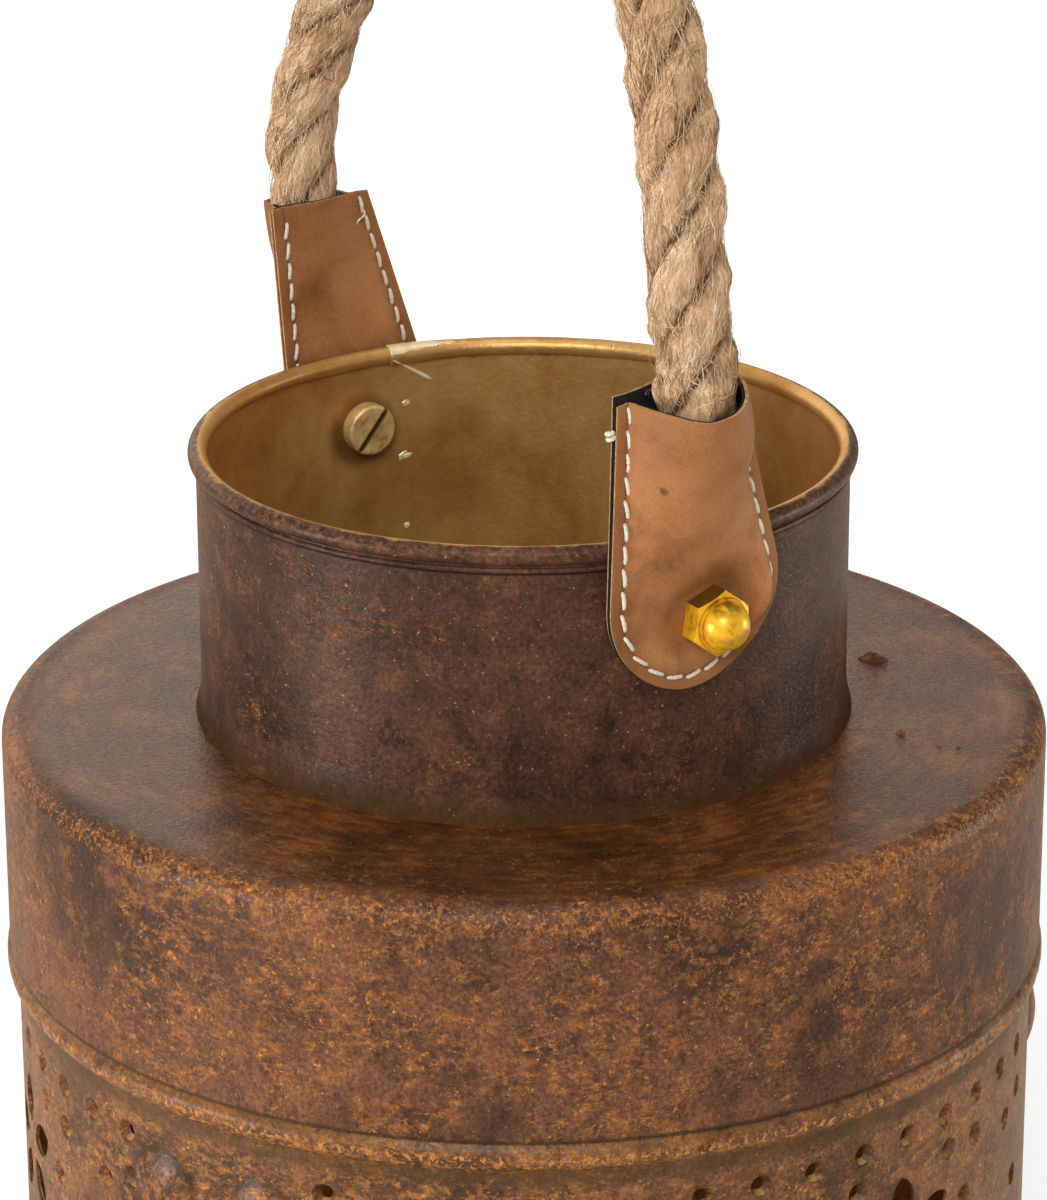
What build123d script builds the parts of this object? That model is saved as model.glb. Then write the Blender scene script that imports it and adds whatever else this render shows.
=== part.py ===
from build123d import *
import os
from math import atan, cos, degrees, hypot, pi, radians, sin, sqrt, tan

os.makedirs("parts", exist_ok=True)

# Punched tin lantern with a rope handle, in millimetres.
# The origin is the middle of the foot, +Z is up, and the two handle screws lie along X.

# Driving sizes of the sheet metal
sheet = 0.8
body_radius = 118.2
skirt_step = 1.8
shoulder_height = 270.0
skirt_height = 53.9
shoulder_corner = 4.6
skirt_fit = 0.1
lip_height = 14.0
bead_height = 6.8
bead_stand_out = 2.5
bead_seat_gap = 0.3
neck_radius = 74.0
neck_height = 61.7
neck_spigot = 4.0
neck_fit = 0.1
neck_foot = 1.4
neck_foot_height = 9.0
rim_roll_radius = 2.15
pan_floor_height = 6.0
pan_fit = 0.1

# Driving sizes of the punched pattern
flower_bays = 3
flower_angle = 14.4
flower_rows = 3
flower_drop = 97.0
flower_row_pitch = 67.0
petals = 5
petal_inner = 4.5
petal_outer = 16.5
petal_width = 7.6
petal_turn = 6.0
ring_radius = 23.0
ring_angles = (-90, -42, 6, 48, 132, 174, 222)
border_rise = 26.0
border_step = 6.65
border_holes = 9
spray = ((27.5, 15.8), (46.0, 11.3), (56.0, 15.0), (54.0, -6.6))
dome_rise = 17.2
dome_step = 13.8
domes_per_bay = 5
dome_radius = 9.5
dome_height = 2.6
bare_dome = (0, 0)
punch_radius = 1.4
punch_flare = 2.8
punch_depth = 1.9

# Driving sizes of the handle and its hardware
bolt_rise = 45.0
screw_radius = 4.0
screw_head_radius = 6.2
screw_head_height = 3.8
slot_width = 1.6
slot_depth = 1.7
slot_turn = 51.0
screw_hole_fit = 0.2
nut_across_flats = 13.0
nut_hex_height = 5.2
nut_face_radius = 6.3
nut_chamfer = 30.0
nut_collar_radius = 6.0
nut_collar_height = 0.8
nut_dome_radius = 5.5
nut_height = 11.4
nut_turn = 22.0
thread_fit = 0.05
thread_end_gap = 1.0
handle_lean = 10.0
skin = 1.0
lining = 0.6
tab_width = 42.0
tab_top_width = 30.0
tab_rise = 57.0
tab_drop = 13.5
tab_stand_off = 3.2
tab_clearance = 0.3
nut_clearance = 0.1
tab_hole_fit = 0.1
dish_seat_radius = 8.0
dish_radius = 12.5
pocket_fit = 0.9
pocket_floor = 31.0
pocket_toe = 16.0
pocket_toe_width = 9.4
pocket_toe_rise = 0.2
thread_radius = 0.4
stitch_length = 4.3
stitch_gap = 0.7
seam_inset = 3.0
rope_radius = 8.5
rope_fit = 0.1
rope_end = 32.0
rope_straight = 66.0

# The rope's free points above the screws: along the screws, across them and up
rope_points = (
    (82.7, -11.2, 97.7),
    (71.4, -8.4, 125.3),
    (53.9, -3.9, 146.6),
    (30.6, 0.1, 160.0),
    (3.9, 2.7, 164.5),
    (-23.3, 3.6, 159.7),
    (-47.9, 2.6, 146.4),
    (-67.5, 0.0, 125.6),
    (-80.8, -4.5, 98.4),
)

# Heights and radii that follow from the driving sizes
skirt_radius = body_radius + skirt_step
skirt_bottom = shoulder_height - skirt_height
bead_z = skirt_bottom - bead_seat_gap - bead_height / 2
bolt_z = shoulder_height + bolt_rise
wall_mid = body_radius - sheet / 2
lip_mid = skirt_radius - sheet - skirt_fit - sheet / 2
neck_inner = neck_radius - sheet
bay_angle = 360 / flower_bays

# Distances of the tab's layers from the lantern's axis
back_skin_n = neck_radius + tab_stand_off
back_lining_n = back_skin_n + skin
front_lining_n = back_lining_n + lining
front_skin_n = front_lining_n + lining
tab_face_n = front_skin_n + skin
dish_depth = tab_stand_off - tab_clearance
rope_n = front_lining_n + rope_fit + rope_radius
nut_seat_n = tab_face_n - dish_depth + nut_clearance
tab_waist = tab_width / 2 - tab_drop

handle_axis = Axis((0, 0, bolt_z), (1, 0, 0))


def wall_plane(angle, z):
    """Plane on the outside of the body wall, facing outwards, its Y up."""
    out = (cos(radians(angle)), sin(radians(angle)), 0)
    return Plane(
        origin=(body_radius * out[0], body_radius * out[1], z),
        x_dir=(-out[1], out[0], 0),
        z_dir=out,
    )


def beside(angle, along, z):
    """Wall plane a distance along the wall from an angle."""
    return wall_plane(angle + degrees(along / body_radius), z)


def flower_row(row):
    """Angles and height of a row of flowers; every second row is turned by half a bay."""
    turn = bay_angle / 2 if row % 2 else 0
    angles = [flower_angle + turn + bay_angle * i for i in range(flower_bays)]
    return angles, shoulder_height - flower_drop - flower_row_pitch * row


def flower_planes():
    return [wall_plane(a, z) for angles, z in map(flower_row, range(flower_rows)) for a in angles]


def hole_planes():
    """Ring and spray holes of each flower, and the border rows above the first and below the last."""
    planes = []
    for row in range(flower_rows):
        angles, z = flower_row(row)
        upside = -1 if row == flower_rows - 1 else 1
        border = row in (0, flower_rows - 1)
        for angle in angles:
            ring = ring_angles if border else ring_angles + (90,)
            for turn in ring:
                rise = upside * ring_radius * sin(radians(turn))
                planes.append(beside(angle, ring_radius * cos(radians(turn)), z + rise))
            for along, rise in spray:
                planes.append(beside(angle, along, z + upside * rise))
                planes.append(beside(angle, -along, z + upside * rise))
            if border:
                border_z = z + upside * border_rise
                for i in range(border_holes):
                    step = (i - (border_holes - 1) / 2) * border_step
                    planes.append(wall_plane(angle + step, border_z))
                for side in (-1, 1):
                    between = angle + bay_angle / 2 + side * dome_step / 2
                    planes.append(wall_plane(between, border_z))
    return planes


def dome_planes():
    """Outward domes between the flowers of the first and last rows; the top row lacks the bare one."""
    planes = []
    for row, upside in ((0, 1), (flower_rows - 1, -1)):
        angles, z = flower_row(row)
        for bay, angle in enumerate(angles):
            for i in range(domes_per_bay):
                step = (i - (domes_per_bay - 1) / 2) * dome_step
                if row > 0 or (bay, i) != bare_dome:
                    planes.append(wall_plane(angle + bay_angle / 2 + step, z + upside * dome_rise))
    return planes


# Tools that mark the wall, made where a wall plane would put them

with BuildSketch() as petal:
    with BuildLine():
        petal_middle = (petal_inner + petal_outer) / 2
        ThreePointArc((petal_inner, 0), (petal_middle, petal_width / 2), (petal_outer, 0))
        ThreePointArc((petal_outer, 0), (petal_middle, -petal_width / 2), (petal_inner, 0))
    make_face()

with BuildPart() as flower_tool:
    with BuildSketch(Plane.XY.offset(-petal_width)):
        with PolarLocations(0, petals, start_angle=90 + petal_turn):
            add(petal.sketch)
    extrude(amount=petal_width + dome_height)

punch_slope = (punch_flare - punch_radius) / punch_depth
punch_over = 0.5
boss_start = sheet / 4

with BuildPart() as punch_tool:
    with BuildSketch(Plane.XZ):
        with BuildLine():
            Polyline(
                (0, punch_over),
                (punch_flare + punch_slope * punch_over, punch_over),
                (punch_radius, -punch_depth),
                (punch_radius, -punch_depth - sheet),
                (0, -punch_depth - sheet),
                close=True,
            )
        make_face()
    revolve(axis=Axis.Z)

with BuildPart() as boss_tool:
    with BuildSketch(Plane.XZ):
        with BuildLine():
            Polyline(
                (0, -boss_start),
                (punch_flare + sheet / 2, -boss_start),
                (punch_radius + sheet / 2, -punch_depth),
                (0, -punch_depth),
                close=True,
            )
        make_face()
    revolve(axis=Axis.Z)

dome_sphere = (dome_radius ** 2 + dome_height ** 2) / (2 * dome_height)
dome_start = 0.75 * sheet

with BuildPart() as dome_tool:
    with Locations((0, 0, dome_height - dome_sphere)):
        Sphere(dome_sphere)
    split(bisect_by=Plane.XY.offset(-dome_start), keep=Keep.TOP)

with BuildPart() as dome_hollow:
    with Locations((0, 0, dome_height - dome_sphere)):
        Sphere(dome_sphere - sheet)
    split(bisect_by=Plane.XY.offset(-3 * sheet), keep=Keep.TOP)

# Body shell: one sheet, swaged out in a bead under the cap and up inside its skirt

bead_root = 2 * sheet
bead_round = 2.5 * sheet

with BuildPart() as body_shell:
    with BuildSketch(Plane.XZ):
        with BuildLine():
            bead_mid = wall_mid + bead_stand_out
            FilletPolyline(
                (wall_mid, 0),
                (wall_mid, bead_z - bead_height / 2),
                (bead_mid, bead_z - bead_height / 5),
                (bead_mid, bead_z + bead_height / 5),
                (lip_mid, bead_z + bead_height / 2),
                (lip_mid, skirt_bottom + lip_height),
                radius=[bead_root, bead_round, bead_round, bead_root / 2],
            )
        trace(line_width=sheet)
    revolve(axis=Axis.Z)
    with Locations(*hole_planes()):
        add(boss_tool.part)
    with Locations(*dome_planes()):
        add(dome_tool.part)
    with Locations(*hole_planes()):
        add(punch_tool.part, mode=Mode.SUBTRACT)
    with Locations(*dome_planes()):
        add(dome_hollow.part, mode=Mode.SUBTRACT)
    with Locations(*flower_planes()):
        add(flower_tool.part, mode=Mode.SUBTRACT)
body_shell.part.label = "body_shell"
export_step(body_shell.part, "parts/body_shell.step")

# Base pan: the floor for the candle, on a turned-down flange inside the foot of the body

with BuildPart() as base_pan:
    pan_radius = body_radius - sheet - pan_fit
    with BuildSketch():
        Circle(pan_radius)
    extrude(amount=pan_floor_height + sheet)
    with BuildSketch():
        Circle(pan_radius - sheet)
    extrude(amount=pan_floor_height, mode=Mode.SUBTRACT)
base_pan.part.label = "base_pan"
export_step(base_pan.part, "parts/base_pan.step")

# Shoulder cap: flat ring, rounded edge and skirt

with BuildPart() as shoulder_cap:
    with BuildSketch(Plane.XZ):
        with BuildLine():
            FilletPolyline(
                (neck_radius + neck_fit, shoulder_height - sheet / 2),
                (skirt_radius - sheet / 2, shoulder_height - sheet / 2),
                (skirt_radius - sheet / 2, skirt_bottom),
                radius=shoulder_corner - sheet / 2,
            )
        trace(line_width=sheet)
    revolve(axis=Axis.Z)
shoulder_cap.part.label = "shoulder_cap"
export_step(shoulder_cap.part, "parts/shoulder_cap.step")

# Neck collar: a spigot in the shoulder's hole, a flared foot on it, the wall and the rolled rim

with BuildPart() as neck_collar:
    with BuildSketch(Plane.XZ):
        rim_z = shoulder_height + neck_height
        with BuildLine():
            foot_top = shoulder_height + neck_foot_height
            Polyline(
                (neck_radius, foot_top),
                (neck_radius, rim_z),
                (neck_inner, rim_z),
                (neck_inner, shoulder_height - neck_spigot),
                (neck_radius, shoulder_height - neck_spigot),
                (neck_radius, shoulder_height),
                (neck_radius + neck_foot, shoulder_height),
            )
            ThreePointArc(
                (neck_radius + neck_foot, shoulder_height),
                (neck_radius + neck_foot / 4, (shoulder_height + foot_top) / 2),
                (neck_radius, foot_top),
            )
        make_face()
        with Locations(((neck_inner + neck_radius) / 2, rim_z)):
            Circle(rim_roll_radius)
    revolve(axis=Axis.Z)
    with Locations((0, 0, bolt_z)):
        Cylinder(
            screw_radius + screw_hole_fit,
            2 * (neck_radius + sheet),
            rotation=(0, 90, 0),
            mode=Mode.SUBTRACT,
        )
neck_collar.part.label = "neck_collar"
export_step(neck_collar.part, "parts/neck_collar.step")


# Screws and dome nuts, one set on each side

def screw_plane(side):
    """Plane on the lantern's axis at the screws' height, facing out through one screw."""
    return Plane(origin=(0, 0, bolt_z), x_dir=(0, side, 0), z_dir=(side, 0, 0))


head_seat_n = sqrt(neck_inner ** 2 - screw_head_radius ** 2)
screw_end_n = nut_seat_n + nut_height - nut_dome_radius + thread_end_gap


def make_screw(side):
    """Slotted cheese-head screw, its head flat inside the neck."""
    plane = screw_plane(side)
    with BuildPart() as screw:
        with BuildSketch(plane.offset(head_seat_n - screw_head_height)):
            Circle(screw_head_radius)
        extrude(amount=screw_head_height)
        inner_edge = screw.edges().filter_by(GeomType.CIRCLE).sort_by(Axis.X)[0 if side > 0 else -1]
        fillet(inner_edge, slot_width / 2)
        with BuildSketch(plane.offset(head_seat_n)):
            Circle(screw_radius)
        extrude(amount=screw_end_n - head_seat_n)
        with BuildSketch(plane.offset(head_seat_n - screw_head_height)):
            Rectangle(2 * screw_head_radius, slot_width, rotation=side * slot_turn)
        extrude(amount=slot_depth, mode=Mode.SUBTRACT)
    return screw


def make_nut(side):
    """Chamfered hexagon with a collar and a domed, closed end, bored for the screw."""
    plane = screw_plane(side)
    dome_n = nut_seat_n + nut_height - nut_dome_radius
    cone_radius = nut_face_radius + nut_hex_height / tan(radians(nut_chamfer))
    with BuildPart() as nut:
        with BuildSketch(plane.offset(nut_seat_n)):
            RegularPolygon(nut_across_flats / 2, 6, major_radius=False, rotation=nut_turn)
        extrude(amount=nut_hex_height)
        with Locations(plane.offset(nut_seat_n + nut_hex_height / 2)):
            Cone(cone_radius, nut_face_radius, nut_hex_height, mode=Mode.INTERSECT)
        with BuildSketch(plane.offset(nut_seat_n)):
            Circle(nut_collar_radius)
        extrude(amount=nut_hex_height + nut_collar_height)
        with BuildSketch(plane.offset(nut_seat_n)):
            Circle(nut_dome_radius)
        extrude(amount=dome_n - nut_seat_n)
        with Locations(plane.offset(dome_n)):
            Sphere(nut_dome_radius)
        with BuildSketch(plane.offset(nut_seat_n)):
            Circle(screw_radius + thread_fit)
        extrude(amount=screw_end_n + thread_fit - nut_seat_n, mode=Mode.SUBTRACT)
    return nut


# Leather tabs: flat leaves, dished in round the screw, the front ones swelling over the rope's end

def tab_plane(side):
    """Plane on the lantern's axis facing out through one tab, its Y up along the leaning tab."""
    lean = radians(handle_lean)
    return Plane(
        origin=(0, 0, bolt_z),
        x_dir=(0, side * cos(lean), side * sin(lean)),
        z_dir=(side, 0, 0),
    )


def across_tab(side, rise):
    """Plane across the tab at a height along it, facing down, its Y out from the lantern's axis."""
    plane = tab_plane(side)
    origin = plane.from_local_coords(Vector(0, rise, 0))
    return Plane(origin=origin, x_dir=plane.x_dir, z_dir=-plane.y_dir)


def tab_outline(plane):
    """Tapered strip with a round lower end and a round hole for the dish."""
    half, top = tab_width / 2, tab_top_width / 2
    with BuildSketch(plane) as outline:
        with BuildLine():
            Polyline((-half, tab_waist), (-top, tab_rise), (top, tab_rise), (half, tab_waist))
            CenterArc((0, tab_waist), half, 180, 180)
        make_face()
        Circle(dish_radius, mode=Mode.SUBTRACT)
    return outline.sketch


def dish_ring(side, inner, outer):
    """Section of a leaf where it is drawn in to the neck round the screw."""
    hole = screw_radius + tab_hole_fit
    upright = Plane(origin=(0, 0, bolt_z), x_dir=(1, 0, 0), z_dir=(0, -1, 0))
    with BuildSketch(upright) as ring:
        with BuildLine():
            Polyline(
                (side * (inner - dish_depth), hole),
                (side * (outer - dish_depth), hole),
                (side * (outer - dish_depth), dish_seat_radius),
                (side * outer, dish_radius),
                (side * inner, dish_radius),
                (side * (inner - dish_depth), dish_seat_radius),
                close=True,
            )
        make_face()
    return ring.sketch


def arch_section(plane, half, base, spring, crown):
    """Arch over the rope's end: straight sides from a base to the spring, then round to the crown."""
    with BuildSketch(plane) as arch:
        with BuildLine():
            Polyline((-half, spring), (-half, base), (half, base), (half, spring))
            ThreePointArc((half, spring), (0, crown), (-half, spring))
        make_face()
    return arch.sketch


def swell(side, base, grown, mode):
    """Room over the rope's end from a base outwards, grown by a thickness, sloping down to a toe."""
    half = rope_radius + pocket_fit + grown
    toe_half = pocket_toe_width / 2 + grown
    toe_spring = front_lining_n + grown + pocket_toe_rise
    mouth = arch_section(across_tab(side, tab_rise), half, base, rope_n, rope_n + half)
    extrude(mouth, amount=tab_rise - pocket_floor, mode=mode)
    floor = arch_section(across_tab(side, pocket_floor), half, base, rope_n, rope_n + half)
    toe_plane = across_tab(side, pocket_toe - grown)
    toe = arch_section(toe_plane, toe_half, base, toe_spring, toe_spring + pocket_toe_rise)
    loft([floor, toe], ruled=True, mode=mode)


def make_leaf(side, inner, outer, pocket=False):
    """One layer of a tab between two distances from the lantern's axis; a front layer gets a pocket."""
    with BuildPart() as leaf:
        extrude(tab_outline(tab_plane(side).offset(inner)), amount=outer - inner)
        revolve(dish_ring(side, inner, outer), axis=handle_axis)
        if pocket:
            swell(side, inner, outer - front_lining_n, Mode.ADD)
            swell(side, back_skin_n, inner - front_lining_n, Mode.SUBTRACT)
    return leaf


def dish_sink(x, y):
    """How far a tab is drawn in at a point on it."""
    down_slope = (dish_radius - hypot(x, y)) / (dish_radius - dish_seat_radius)
    return dish_depth * max(0, min(1, down_slope))


def make_stitching(side):
    """Thread on the front and back faces of one tab, along its sides and round its lower end."""
    plane = tab_plane(side)
    half, top = tab_width / 2 - seam_inset, tab_top_width / 2 - seam_inset
    with BuildLine() as seam:
        Line((-top, tab_rise), (-half, tab_waist))
        CenterArc((0, tab_waist), half, 180, 180)
        Line((half, tab_waist), (top, tab_rise))
    line = seam.wire()
    pitch = stitch_length + stitch_gap
    count = int(line.length / pitch)
    slope = atan(dish_depth / (dish_radius - dish_seat_radius))
    stand_off = thread_radius / cos(slope) + rope_fit
    places = []
    for i in range(count):
        middle = (i + 0.5) / count
        point = line.position_at(middle)
        along = line.tangent_at(middle)
        reach = along * (stitch_length / 2)
        sinks = [dish_sink(p.X, p.Y) for p in (point - reach, point, point + reach)]
        for n in (tab_face_n + stand_off - min(sinks), back_skin_n - stand_off - max(sinks)):
            spot = plane.from_local_coords(Vector(point.X, point.Y, n))
            way = plane.x_dir * along.X + plane.y_dir * along.Y
            places.append(Plane(origin=spot, z_dir=way))
    with BuildPart() as stitching:
        with Locations(*places):
            Cylinder(thread_radius, stitch_length)
    return stitching


for side, side_name in ((1, "right"), (-1, "left")):
    made = {
        "screw": make_screw(side),
        "dome_nut": make_nut(side),
        "tab_back_skin": make_leaf(side, back_skin_n, back_lining_n),
        "tab_back_lining": make_leaf(side, back_lining_n, front_lining_n),
        "tab_front_lining": make_leaf(side, front_lining_n, front_skin_n, pocket=True),
        "tab_front_skin": make_leaf(side, front_skin_n, tab_face_n, pocket=True),
        "tab_stitching": make_stitching(side),
    }
    for name, piece in made.items():
        piece.part.label = f"{name}_{side_name}"
        export_step(piece.part, f"parts/{name}_{side_name}.step")

# Rope handle: straight in each tab, then over in an arch

with BuildPart() as handle_rope:
    with BuildLine() as rope_line:
        ends = {}
        for side in (1, -1):
            plane = tab_plane(side)
            ends[side] = [plane.from_local_coords(Vector(0, k, rope_n)) for k in (rope_end, rope_straight)]
        free = [Vector(x, y, bolt_z + up) for x, y, up in rope_points]
        route = ends[1] + free + ends[-1][::-1]
        runs = [(b - a).length for a, b in zip(route, route[1:])]
        turns = [
            (b - a).get_angle(c - b) for a, b, c in zip(route, route[1:], route[2:])
        ]
        radii = [
            0.45 * min(r1, r2) / (sin(radians(t / 2)) / cos(radians(t / 2)))
            for r1, r2, t in zip(runs, runs[1:], turns)
        ]
        FilletPolyline(*route, radius=radii)
    with BuildSketch(Plane(origin=rope_line.wire() @ 0, z_dir=rope_line.wire() % 0)):
        Circle(rope_radius)
    sweep(path=rope_line.wire())
handle_rope.part.label = "handle_rope"
export_step(handle_rope.part, "parts/handle_rope.step")

print("rope radii", [round(r, 1) for r in radii])
rope_length = rope_line.wire().length
print("rope length", round(rope_length, 1))
print("rope volume", round(handle_rope.part.volume), "section x length", round(pi * rope_radius ** 2 * rope_length))
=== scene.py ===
"""The look of a punched tin lantern with a rope handle: rope, leather, materials, light and camera."""
import math

import bpy
import numpy as np
from mathutils import Matrix, Vector


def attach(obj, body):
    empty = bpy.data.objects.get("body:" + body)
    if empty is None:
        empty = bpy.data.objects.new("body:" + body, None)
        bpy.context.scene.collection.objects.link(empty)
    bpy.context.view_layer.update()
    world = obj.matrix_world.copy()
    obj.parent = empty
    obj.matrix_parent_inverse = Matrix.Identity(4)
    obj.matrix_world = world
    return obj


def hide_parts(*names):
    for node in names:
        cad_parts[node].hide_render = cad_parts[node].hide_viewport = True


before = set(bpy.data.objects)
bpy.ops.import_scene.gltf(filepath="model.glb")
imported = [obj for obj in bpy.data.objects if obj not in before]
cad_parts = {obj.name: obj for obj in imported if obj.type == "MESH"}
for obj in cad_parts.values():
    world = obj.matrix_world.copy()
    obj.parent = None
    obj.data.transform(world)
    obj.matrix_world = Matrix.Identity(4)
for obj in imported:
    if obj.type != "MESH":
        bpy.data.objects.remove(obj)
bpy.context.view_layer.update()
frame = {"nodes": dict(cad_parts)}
nodes = frame["nodes"]
rng = np.random.default_rng(11)
mm = 0.001

# The handle's own sizes, in millimetres, as in the solids
bolt_z = 315.0
lean = math.radians(10)
back_skin_n = 77.2
skin = 1.0
lining = 0.6
front_leaf_n = back_skin_n + skin + 2 * lining
dish_depth = 2.9
dish_seat = 7.4
dish_edge = 16.5
rope_n = 87.4
rope_tip_n = 84.5

# The tabs' outlines, seen on their outer faces
tab_round_v = 7.5
tab_height = 57.2
seam_inset = 2.7
bulge_height = 17.4
bulge_toe = 6.0
bulge_floor = 52.0
tabs = {
    1: {
        "name": "right", "half": 21.2, "top": 14.8, "shift": -2.9, "shear": 0.0617, "rope": 1.1,
        "front_top": (55.4, 56.8), "back_top": (57.3, 56.4), "lining_inset": -0.15, "puff": 5.4,
    },
    -1: {
        "name": "left", "half": 18.4, "top": 12.6, "shift": -1.6, "shear": 0.015, "rope": -0.4,
        "front_top": (54.6, 57.6), "back_top": (55.7, 58.9), "lining_inset": 0.9, "puff": 1.5,
    },
}
stain_place = (0.0873, -0.0182, 0.3498)
mouth_dip = 3.2
puff_u = 11.5
puff_v = 1.0
edge_squeeze = 0.3
edge_hug = 0.9
hug_half = 21.0
back_press = 1.3

# The rope
rope_near_radius = 8.9
rope_far_radius = 8.15
strand_radius = 4.85
strand_offset = 3.9
strand_lay = 48.6
yarns = 6
pocket_depth = 18.0
tip_scale = 0.45
tip_length = 24.0

# The sheet metal
neck_foot_z = 270.0
rim_z = 331.7
rim_radius = 73.6
rim_roll = 2.15
hem_z = 328.4
neck_outer = 74.0
neck_inner = 73.2
lap_turn = 175.0
gold_neck_radius = 73.5
gold_body_radius = 117.7
body_radius = 118.2
skirt_radius = 120.0
skirt_bottom = 216.1
bead_z = 212.4

# The photograph's camera
camera_turn = math.radians(59)
camera_pitch = math.radians(20.60)
camera_roll = math.radians(0.186)
camera_target = Vector((0, 0, 0.2941))
camera_distance = 1.1298
focal_pixels = 4938
image_width = 1047

level_out = Vector((math.sin(camera_turn), -math.cos(camera_turn), 0))
level_right = Vector((math.cos(camera_turn), math.sin(camera_turn), 0))
toward_camera = level_out * math.cos(camera_pitch) + Vector((0, 0, math.sin(camera_pitch)))


# Colours and node materials


def srgb(red, green, blue):
    """A colour from 0 to 255, as a screen shows it, as the linear colour that a shader takes."""
    shares = [c / 255 for c in (red, green, blue)]
    linear = [c / 12.92 if c <= 0.04045 else ((c + 0.055) / 1.055) ** 2.4 for c in shares]
    return (*linear, 1.0)


class Wire:
    """A node's output, for working out numbers with more nodes."""

    def __init__(self, nodes, socket):
        self.nodes = nodes
        self.socket = socket

    def __mul__(self, other):
        return self.nodes.math("MULTIPLY", self, other)

    def __add__(self, other):
        return self.nodes.math("ADD", self, other)

    def __sub__(self, other):
        return self.nodes.math("SUBTRACT", self, other)

    def __rsub__(self, other):
        return self.nodes.math("SUBTRACT", other, self)

    def __abs__(self):
        return self.nodes.math("ABSOLUTE", self)


class Nodes:
    """A node tree that grows node by node."""

    def __init__(self, tree):
        self.tree = tree

    def node(self, kind, inputs, output=0, **settings):
        made = self.tree.nodes.new("ShaderNode" + kind)
        for key, value in settings.items():
            setattr(made, key, value)
        for key, value in inputs.items():
            self.put(made.inputs[key], value)
        return Wire(self, made.outputs[output])

    def put(self, socket, value):
        if isinstance(value, Wire):
            self.tree.links.new(value.socket, socket)
        else:
            socket.default_value = value

    def math(self, operation, first, second=0.0):
        return self.node("Math", {0: first, 1: second}, operation=operation)

    def most(self, first, second):
        return self.math("MAXIMUM", first, second)

    def vector(self, operation, first, second=(0, 0, 0), output=0):
        return self.node("VectorMath", {0: first, 1: second}, output, operation=operation)

    def step(self, value, low, high):
        """0 at low, 1 at high, and an even curve between."""
        inputs = {"Value": value, "From Min": low, "From Max": high}
        return self.node("MapRange", inputs, interpolation_type="SMOOTHSTEP")

    def step_mm(self, value, low, high):
        """The same for a length in metres, with its limits in millimetres."""
        return self.step(value, low * mm, high * mm)

    def blend(self, share, low, high):
        """The number that is this share of the way from low to high."""
        return self.node("MapRange", {"Value": share, "To Min": low, "To Max": high})

    def mix(self, factor, first, second, blend="MIX"):
        inputs = {0: factor, 6: first, 7: second}
        return self.node("Mix", inputs, 2, data_type="RGBA", blend_type=blend)


class Look(Nodes):
    """A procedural material on the object's own coordinates."""

    def __init__(self, name, **values):
        self.material = bpy.data.materials.new(name)
        self.material.use_nodes = True
        super().__init__(self.material.node_tree)
        self.shader = self.tree.nodes["Principled BSDF"]
        for words, value in values.items():
            self.set(words.replace("_", " "), value)
        self.place = self.node("TexCoord", {}, "Object")

    def set(self, words, value):
        self.put(self.shader.inputs[words], value)

    def noise(self, scale, detail=4.0, rough=0.55, twist=0.0, place=None):
        inputs = {"Scale": scale, "Detail": detail, "Roughness": rough, "Distortion": twist}
        inputs["Vector"] = place or self.place
        return self.node("TexNoise", inputs)

    def stretched(self, x, y, z, place=None):
        return self.node("Mapping", {"Vector": place or self.place, "Scale": (x, y, z)})

    def scaled(self, value, low, high):
        """A noise value as a number from low to high."""
        inputs = {"Value": value, "From Min": 0.3, "From Max": 0.7, "To Min": low, "To Max": high}
        return self.node("MapRange", inputs)

    def ramp(self, factor, *stops):
        made = self.tree.nodes.new("ShaderNodeValToRGB")
        self.put(made.inputs[0], factor)
        elements = made.color_ramp.elements
        elements[0].position, elements[0].color = stops[0]
        elements[1].position, elements[1].color = stops[-1]
        for place, colour in stops[1:-1]:
            elements.new(place).color = colour
        return Wire(self, made.outputs[0])

    def bump(self, height, strength, depth, normal=None):
        inputs = {"Height": height, "Strength": strength, "Distance": depth}
        if normal is not None:
            inputs["Normal"] = normal
        return self.node("Bump", inputs)

    def attribute(self, name):
        """A number that the mesh holds for each of its points."""
        return self.node("Attribute", {}, "Fac", attribute_name=name)

    def flat(self):
        """The level part of the place, from the lantern's axis."""
        return self.vector("MULTIPLY", self.place, (1, 1, 0))

    def radius(self):
        return self.vector("LENGTH", self.flat(), output="Value")

    def height(self):
        return self.node("SeparateXYZ", {0: self.place}, 2)

    def off_bolt(self, across=0.0, up=0.0):
        """How far a place is from the screws' axis, or from a line this far beside it, in millimetres."""
        moved = self.vector("SUBTRACT", self.place, (0, across * mm, (bolt_z + up) * mm))
        return self.vector("LENGTH", self.vector("MULTIPLY", moved, (0, 1, 1)), output="Value")

    def around(self, fine, along):
        """Places for streaks that run round the lantern's axis: fine across them, along lengthwise."""
        turn = self.vector("NORMALIZE", self.flat())
        x, y = (self.node("SeparateXYZ", {0: turn}, axis) * along for axis in (0, 1))
        return self.node("CombineXYZ", {0: self.radius() * fine, 1: x, 2: y})

    def hollow_shade(self, reach):
        """How much the surface round a spot closes it in, from 0 to 1, for painting shade into hollows."""
        open_share = self.node("AmbientOcclusion", {"Distance": reach}, "AO", samples=4, only_local=True)
        return self.step(open_share, 0.88, 0.4)


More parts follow.
